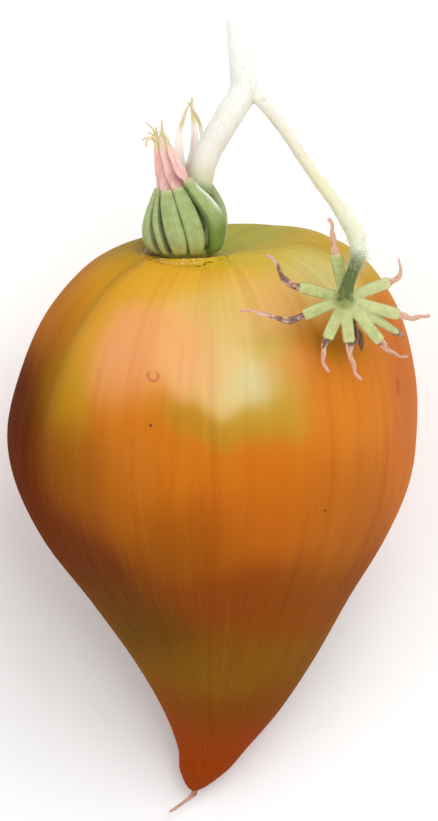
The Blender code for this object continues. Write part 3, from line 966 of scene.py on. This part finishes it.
def fruit():
    """The skin on a fine grid, with faint lobes, ridges along it and a corky rim round the crown."""
    draw = random.Random(3)
    degrees = np.arange(SEGMENTS) * 360 / SEGMENTS
    shares = np.linspace(0, 1, RINGS + 1)[1:-1]
    grid = skin_grid(degrees, shares)
    centres = grid.mean(axis=1, keepdims=True)
    out = unit(grid - centres)
    angles = np.radians(degrees)
    ridges = np.zeros(SEGMENTS)
    for waves in RIDGE_WAVES:
        ridges += math.sin(waves) * np.sin(waves * angles + draw.uniform(0, 2 * math.pi)) / 3
    lobes = sum(np.sin(count * angles + phase) * share for count, phase, share in LOBES)
    body = np.sin(math.pi * shares)[:, None] ** 1.5
    raised = body * (RIDGE_HEIGHT * ridges + LOBE_HEIGHT * lobes)
    from_crown = np.linalg.norm(grid[..., :2] - CROWN_BASE[:2], axis=-1)
    rim = bump_at(from_crown, CORK_DISTANCE, CORK_HALF_WIDTH) * (grid[..., 2] > 30)
    rough = sum(np.sin(waves * angles + draw.uniform(0, 6)) for waves in RIM_WAVES) / 4
    raised = raised + rim * CORK_HEIGHT * (0.6 + rough)
    grid = grid + out * raised[..., None]

    poles = smooth_route(FRUIT_OUTLINE, (0.0, 1.0))[:, (2, 3, 1)]
    shape = Shape()
    loft(shape, grid, shares)
    shape.points[-2:] = map(tuple, poles)
    piece = make("tomato_fruit", shape, skin_look(), "ripening_skin", "fruit")
    for vertex in piece.data.vertices:
        vertex.co.z = max(vertex.co.z, 0.0)
    ground = np.ones((len(shape.points), 4))
    # Painted shade: the skin darkens in the furrows by their depth, and down the plainest furrow's
    # middle.
    shade = 1 - FURROW_SHADE * furrow_depths(degrees, shares) - furrow_shade_lines(degrees, shares)
    shade = np.append(shade.ravel(), (1, 1))[:, None]
    ground[:, :3] = linear(patch_colours(np.array(shape.points)) * shade / 255)
    attribute = piece.data.attributes.new("ground", "FLOAT_COLOR", "POINT")
    attribute.data.foreach_set("color", ground.ravel())
    return piece


def crown_stations(half_width, degrees, turn, swell, bunch, reach):
    """A crown sepal's middle line, with its half width and half thickness."""
    lean, tallness = bunch
    stations = []
    for distance, height, share, half_thickness in CROWN_BLADE:
        rise = height * reach * tallness
        turned = degrees + turn * min(1.0, rise / CLOSED_HEIGHT) ** 1.5
        out = distance * (1 + (swell - 1) * max(0.0, min(1.0, (rise - SWELL_START) / SWELL_RISE)))
        centre = CROWN_BASE + lean * (rise / CROWN_HEIGHT) ** 1.5 + outward(turned) * out
        stations.append((centre[0], centre[1], centre[2] + rise, half_width * share, half_thickness))
    return stations


def curl_points(start, direction, bend, length, steps=12):
    """A thread that sets off upwards and bends over towards a level direction."""
    point = np.array(start)
    points = []
    for i in range(1, steps + 1):
        turn = math.radians(bend) * i / steps
        heading = np.array((0, 0, 1)) * math.cos(turn) + direction * math.sin(turn)
        point = point + heading * length / steps
        points.append(point)
    return points


def crown():
    """Fleshy sepals on a ring round the stem, and their papery tips drawn together above."""
    draw = random.Random(11)
    crumple = random.Random(12)
    green = Shape()
    tips = Shape()
    ring_angles = 2 * math.pi * np.arange(97) / 96
    centres = CROWN_BASE + RECEPTACLE_RADIUS * np.stack(
        [np.cos(ring_angles), np.sin(ring_angles), 0 * ring_angles], axis=1
    )
    widths = np.full(len(centres), RECEPTACLE_HALF_WIDTH)
    rings = route_rings(centres, widths, widths * RECEPTACLE_FLATNESS, (0, 0, 1), sides=12)
    loft(green, rings, np.zeros(len(centres)))

    for number, (degrees, half_width, turn, swell, bunch) in enumerate(CROWN_PLAN):
        reach = draw.uniform(*REACH_RANGE)
        # The solid's curl takes the next draw, which keeps these reaches the same as its own.
        draw.uniform(0, 360)
        stations = crown_stations(half_width, degrees, turn, swell, bunch, reach)
        route = smooth_route(stations, np.linspace(0, 1, 120))
        heights = route[:, 2] - CROWN_BASE[2]
        tone = (number + 1) / 10
        top, widening = CROWN_EDGES[number]

        lower = route[heights <= top]
        along = heights[heights <= top] / top
        rounding = np.sqrt(np.clip((1.01 - along) / 0.03, 0.0, 1.0))
        facing = outward(degrees)
        widths = lower[:, 3] * widening * rounding
        thins = lower[:, 4] * rounding
        rings = route_rings(lower[:, :3], widths, thins, facing, sides=28, boxiness=0.7)
        loft(green, rings, along, tone)

        upper = route[heights > top - TIP_OVERLAP]
        direction, bend, length, aside = CROWN_CURLS[number]
        thread = curl_points(upper[-1, :3], outward(direction), bend, length)
        points = np.vstack([upper[:, :3], thread])
        share = np.linspace(0, 1, len(points))
        points[:, 0] += aside * np.sin(math.pi * share)
        widening = FRONT_WIDENING if bunch is FRONT_BUNCH else BACK_WIDENING
        rolled = upper[:, 3] * np.interp(np.linspace(0, 1, len(upper)), *widening)
        widths = np.concatenate([rolled, np.linspace(*THREAD_HALF_WIDTHS, len(thread))])
        widths = np.convolve(np.pad(widths, 4, mode="edge"), np.ones(9) / 9, mode="valid")
        thins = 0.28 - 0.14 * share
        wobble = [crumple.uniform(-1, 1) for _ in range(3)]
        wave = 0.15 * np.sin(share * 14 + wobble[0] * 3)[:, None] * share[:, None]
        points = points + wave * facing
        twists = wobble[1] * 1.1 * share**3 + 0.12 * np.sin(share * 18 + wobble[2] * 3)
        rings = route_rings(points, widths, thins, facing, twists=twists, sides=12)
        loft(tips, rings, share, 1.5 if bunch is FRONT_BUNCH else 1.0)

    tissue = ((176, 172, 70), (151, 168, 100), (204, 188, 150))
    # The first crown sepal gets its deeper green foot and its painted sheen, a pale highlight, at 0.9.
    look = sepal_look("crown_sepals", *tissue, 0.3, green_and_sheen=0.9)
    make("crown_sepals", green, look, "green_sepal", "crown_calyx")
    make("crown_tips", tips, crown_tip_look(), "dried_pink", "crown_calyx")
    return green


def star_route(clock, green, dried, turn, back):
    """A star sepal's middle line, from the hub outwards."""
    total = green + dried
    points = []
    place = np.zeros(3)
    for i in range(STAR_STEPS + 1):
        share = i / STAR_STEPS
        over = max(0.0, (share * total - green) / dried)
        bend = turn * min(1.0, over * DRIED_BEND) + DRIED_WAVE * math.sin(over * DRIED_WAVES)
        heading = math.radians(clock + bend)
        points.append(STAR_CENTRE + place + np.array((0, back * share * share, 0)))
        place = place + np.array((math.sin(heading), 0, math.cos(heading))) * (total / STAR_STEPS)
    return points


def star():
    """Green straps round a hub, each with a dried tip that is narrower, wrinkled and twisted."""
    draw = random.Random(5)
    crumple = random.Random(6)
    straps = Shape()
    tips = Shape()
    polar = np.linspace(0.05, math.pi - 0.05, 18)
    heights = HUB_RADIUS * HUB_FLATNESS * np.cos(polar)
    centres = STAR_CENTRE + np.outer(heights, (0, 1, 0))
    radii = HUB_RADIUS * np.sin(polar)
    loft(straps, route_rings(centres, radii, radii, (0, 0, 1), sides=28), np.full(18, 0.1), 0.05)

    for number, (clock, green, dried, turn, back, brown) in enumerate(STAR_SEPALS):
        end_twist = draw.uniform(-DRIED_TWIST, DRIED_TWIST)
        places = np.linspace(0, 1, 80)
        route = smooth_route(star_route(clock, green, dried, turn, back), places)
        share = green / (green + dried)
        strap = route[places <= share]
        along = places[places <= share] / share
        rounding = np.sqrt(np.clip((1.03 - along) / 0.08, 0.0, 1.0))
        widths = (STRAP_ROOT + STRAP_SWELL * np.sin(math.pi * 0.7 * along)) * rounding
        if brown == 1.0:
            widths = widths * (1 - 0.5 * along**2)
        thins = STRAP_HALF_THICKNESS * rounding
        rings = route_rings(strap, widths, thins, (0, -1, 0), sides=20, boxiness=0.85)
        loft(straps, rings, along, (number + 1) / 10)

        tip = route[places > share - STAR_TIP_OVERLAP]
        over = np.linspace(0, 1, len(tip))
        widths = 0.9 - 0.58 * over**0.6
        widths = widths * (1 + 0.15 * np.sin(over * 17 + crumple.uniform(0, 6)))
        thins = 0.42 - 0.24 * over
        twists = end_twist * over + 0.35 * np.sin(over * 11 + crumple.uniform(0, 6)) * over
        side = np.array((math.cos(math.radians(clock)), 0, -math.sin(math.radians(clock))))
        points = tip + np.outer(0.25 * np.sin(over * 13 + crumple.uniform(0, 6)) * over, side)
        rings = route_rings(points, widths, thins, (0, -1, 0), twists=twists, sides=12)
        loft(tips, rings, over, brown)

    straps = grown_together(straps, 0.17, 2)
    look = sepal_look("star_sepals", (142, 154, 72), (190, 194, 122), (202, 204, 138), 0.3)
    make("star_sepals", straps, look, "pale_sepal", "spent_calyx")
    dried = dried_look("dried_star_tips", (130, 98, 84), (228, 182, 156))
    make("star_tips", tips, dried, "dried_brown", "spent_calyx")
    return straps


def tube_rings(stations, spacing, sides, wobble):
    """Round sections along stations of x, y, z and radius, with a little unevenness."""
    length = sum(math.dist(a[:3], b[:3]) for a, b in zip(stations, stations[1:]))
    route = smooth_route(stations, np.linspace(0, 1, round(length / spacing) + 1))
    steps = np.linalg.norm(np.diff(route[:, :3], axis=0), axis=1)
    along = np.concatenate([(0,), np.cumsum(steps)])
    uneven = 1 + wobble * (np.sin(along * 1.3) + np.sin(along * 0.61 + 1)) / 2
    radii = route[:, 3] * uneven
    return route_rings(route[:, :3], radii, radii, (0, -1, 0), sides=sides), along


def scatter(draw, most):
    """A random vector, each of its parts within this much of zero."""
    return np.array([draw.uniform(-most, most) for _ in range(3)])


def hair(shape, root, direction, length, radius, bend, tone, steps=5):
    """A thin hair of three sides that bends evenly from its root to its tip."""
    direction = unit(direction)
    side = unit(np.cross(direction, bend))
    over = unit(np.cross(side, direction))
    places = np.linspace(0, 1, steps + 1)
    points = root + np.outer(places * length, direction) + np.outer(places**2 * length * 0.35, over)
    rings = []
    for place, point in zip(places, points):
        width = radius * (1 - 0.8 * place)
        corners = [math.cos(turn) * side + math.sin(turn) * over for turn in HAIR_SIDES]
        rings.append([point + width * corner for corner in corners])
    loft(shape, np.array(rings), places, tone)


def stem():
    """The cut stem, its fork, the pedicel and the side branch as one skin, and their hairs."""
    draw = random.Random(21)
    shape = Shape()
    main_rings, main_along = tube_rings(MAIN_STEM, 0.5, 28, 0.03)
    loft(shape, main_rings, main_along)
    side_rings, side_along = tube_rings(SIDE_BRANCH, 0.4, 24, 0.05)
    loft(shape, side_rings, side_along, 1.0)
    grown = grown_together(shape, 0.24, 5)
    make("stem", grown, stem_look(), "pale_stem", "truss_stem")

    hairs = Shape()
    stretches = ((side_rings, side_along, *SIDE_HAIRS), (main_rings, main_along, *MAIN_HAIRS))
    for rings, along, count, longest in stretches:
        for _ in range(count):
            i = draw.randrange(2, len(rings) - 2)
            k = draw.randrange(rings.shape[1])
            centre = rings[i].mean(axis=0)
            out = unit(rings[i, k] - centre)
            onward = unit(rings[i + 1].mean(axis=0) - centre)
            direction = out + scatter(draw, 0.5) + onward * 0.2
            short = rings is side_rings and along[i] > SHORT_HAIRS_START
            length = longest * draw.uniform(0.1, 1.0) ** 2 + 0.5
            length = min(length, SHORT_HAIR) if short else length
            root = rings[i, k] - out * 0.1
            tone = 0.8 if short else 0.0
            hair(hairs, root, direction, length, HAIR_RADIUS, scatter(draw, 1), tone)
    for _ in range(FUZZ_COUNT):
        i = int(np.argmin(np.abs(side_along - draw.gauss(NECK_START, FUZZ_SPREAD))))
        root = side_rings[i, draw.randrange(side_rings.shape[1])]
        direction = unit(root - side_rings[i].mean(axis=0)) + scatter(draw, 0.9)
        bend = scatter(draw, 1)
        hair(hairs, root, direction, draw.uniform(0.6, 2.2), FUZZ_RADIUS, bend, 0.6)
    make("stem_hairs", hairs, hair_look(), "pale_stem", "truss_stem")


def down(name, shape, count, longest, slot, node, seed, tone):
    """Short fine hairs all over a soft green piece."""
    draw = random.Random(seed)
    mesh = temporary_mesh(shape)
    normals = [vertex.normal for vertex in mesh.vertices]
    hairs = Shape()
    for _ in range(count):
        i = draw.randrange(len(shape.points))
        direction = np.array(normals[i]) + scatter(draw, 0.6)
        bend = scatter(draw, 1)
        length = draw.uniform(0.25, 1.0) * longest
        root = np.array(shape.points[i])
        hair(hairs, root, direction, length, DOWN_RADIUS, bend, tone, steps=3)
    make(name, hairs, hair_look(), slot, node)


def withered_flower():
    """Shrivelled petals behind the star, as a bunch of loose twisted ribbons."""
    draw = random.Random(9)
    root = STAR_CENTRE + np.array((0.2, HUB_RADIUS * HUB_FLATNESS + WITHERED_DEPTH, -0.2))
    stations = np.array(WITHERED_ROUTE)
    stations[:, :3] += root
    shape = Shape()
    places = np.linspace(0, 1, 40)
    route = smooth_route(stations, places)
    for _ in range(WITHERED_RIBBONS):
        phase = draw.uniform(0, 6)
        turn = draw.uniform(0, 6)
        sways = (np.sin(places * 5 + phase), np.cos(places * 4 + turn), 0.6 * np.sin(places * 7 + turn))
        points = route[:, :3] + 1.1 * np.stack(sways, axis=1)
        widths = 0.25 + 0.45 * route[:, 3] * np.abs(np.sin(places * 6 + phase))
        thins = np.full(len(places), 0.12)
        twists = turn + 2.5 * places
        rings = route_rings(points, widths, thins, (0, 1, 0), twists=twists, sides=8)
        loft(shape, rings, places, 1.1)
    look = dried_look("withered_petals", (138, 106, 74), (150, 116, 86))
    make("withered_petals", shape, look, "dried_brown", "withered_flower")


def style_remnant():
    """The dry thread at the fruit's tip, bent to the left and the front."""
    height, right, back = FRUIT_OUTLINE[-1][1:]
    stations = np.array(STYLE_ROUTE)
    stations[:, :3] += (right, back, height - STYLE_GAP)
    rings, along = tube_rings(stations, 0.12, 12, 0.2)
    shape = Shape()
    loft(shape, rings, along / along[-1], 0.2)
    look = dried_look("dry_style", (150, 96, 70), (210, 168, 150))
    make("dry_style", shape, look, "dried_pink", "style_remnant")


def floor():
    """A plain pale floor, faintly uneven in tone."""
    bpy.ops.mesh.primitive_plane_add(size=4.0)
    plane = bpy.context.object
    plane.name = "floor"
    look = Look("pale_floor")
    grain = look.noise(look.node("ShaderNodeTexCoord").outputs["Object"], 40.0, detail=2)
    look.set(Base_Color=look.mix(grain, (249, 249, 249), (252, 252, 252)), Roughness=0.9)
    plane.data.materials.append(look.material)
    plane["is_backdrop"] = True


def area_light(name, direction, distance, size, power):
    """A soft square light, in mm, aimed at the fruit's middle."""
    data = bpy.data.lights.new(name, "AREA")
    data.size = size * MM
    data.energy = power
    light = placed(name, data)
    light.location = laid(unit(np.array(direction)) * distance)
    aim = Vector(ORIGIN) - light.location
    light.rotation_euler = aim.to_track_quat("-Z", "Y").to_euler()


def studio():
    """Plain white surroundings and the soft lights."""
    world = bpy.data.worlds.new("studio")
    world.use_nodes = True
    background = world.node_tree.nodes["Background"]
    background.inputs["Color"].default_value = (1.0, 1.0, 1.0, 1)
    background.inputs["Strength"].default_value = WORLD_STRENGTH
    bpy.context.scene.world = world
    bpy.context.scene.view_settings.view_transform = "Standard"
    for name, row in LIGHTS.items():
        area_light(name, *row)


def camera():
    """The camera at the photograph's viewing angle, looking a little down on the hanging fruit."""
    data = bpy.data.cameras.new("camera")
    data.sensor_fit = "VERTICAL"
    data.sensor_height = SENSOR_HEIGHT
    data.lens = CAMERA_LENS
    data.clip_start = 0.01
    eye = placed("camera", data)
    right = np.array((1.0, 0.0, 0.0))
    back = np.array((0.0, -math.cos(CAMERA_ABOVE), math.sin(CAMERA_ABOVE)))
    up = np.array((0.0, math.sin(CAMERA_ABOVE), math.cos(CAMERA_ABOVE)))
    turn = Matrix((LAY @ np.stack([right, up, back], axis=1)).tolist()).to_4x4()
    eye.matrix_world = Matrix.Translation(laid(CAMERA_TARGET + back * CAMERA_DISTANCE)) @ turn
    bpy.context.scene.camera = eye


camera()
studio()
floor()
fruit()
crown_shape = crown()
star_shape = star()
stem()
down("crown_down", crown_shape, 3500, 0.5, "green_sepal", "crown_calyx", 31, 0.7)
down("star_down", star_shape, 1200, 0.35, "pale_sepal", "spent_calyx", 32, 0.6)
withered_flower()
style_remnant()

boxes = {"solid": solid_bounds, "visual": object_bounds()}
{name: [list(corner) for corner in box] for name, box in boxes.items()}
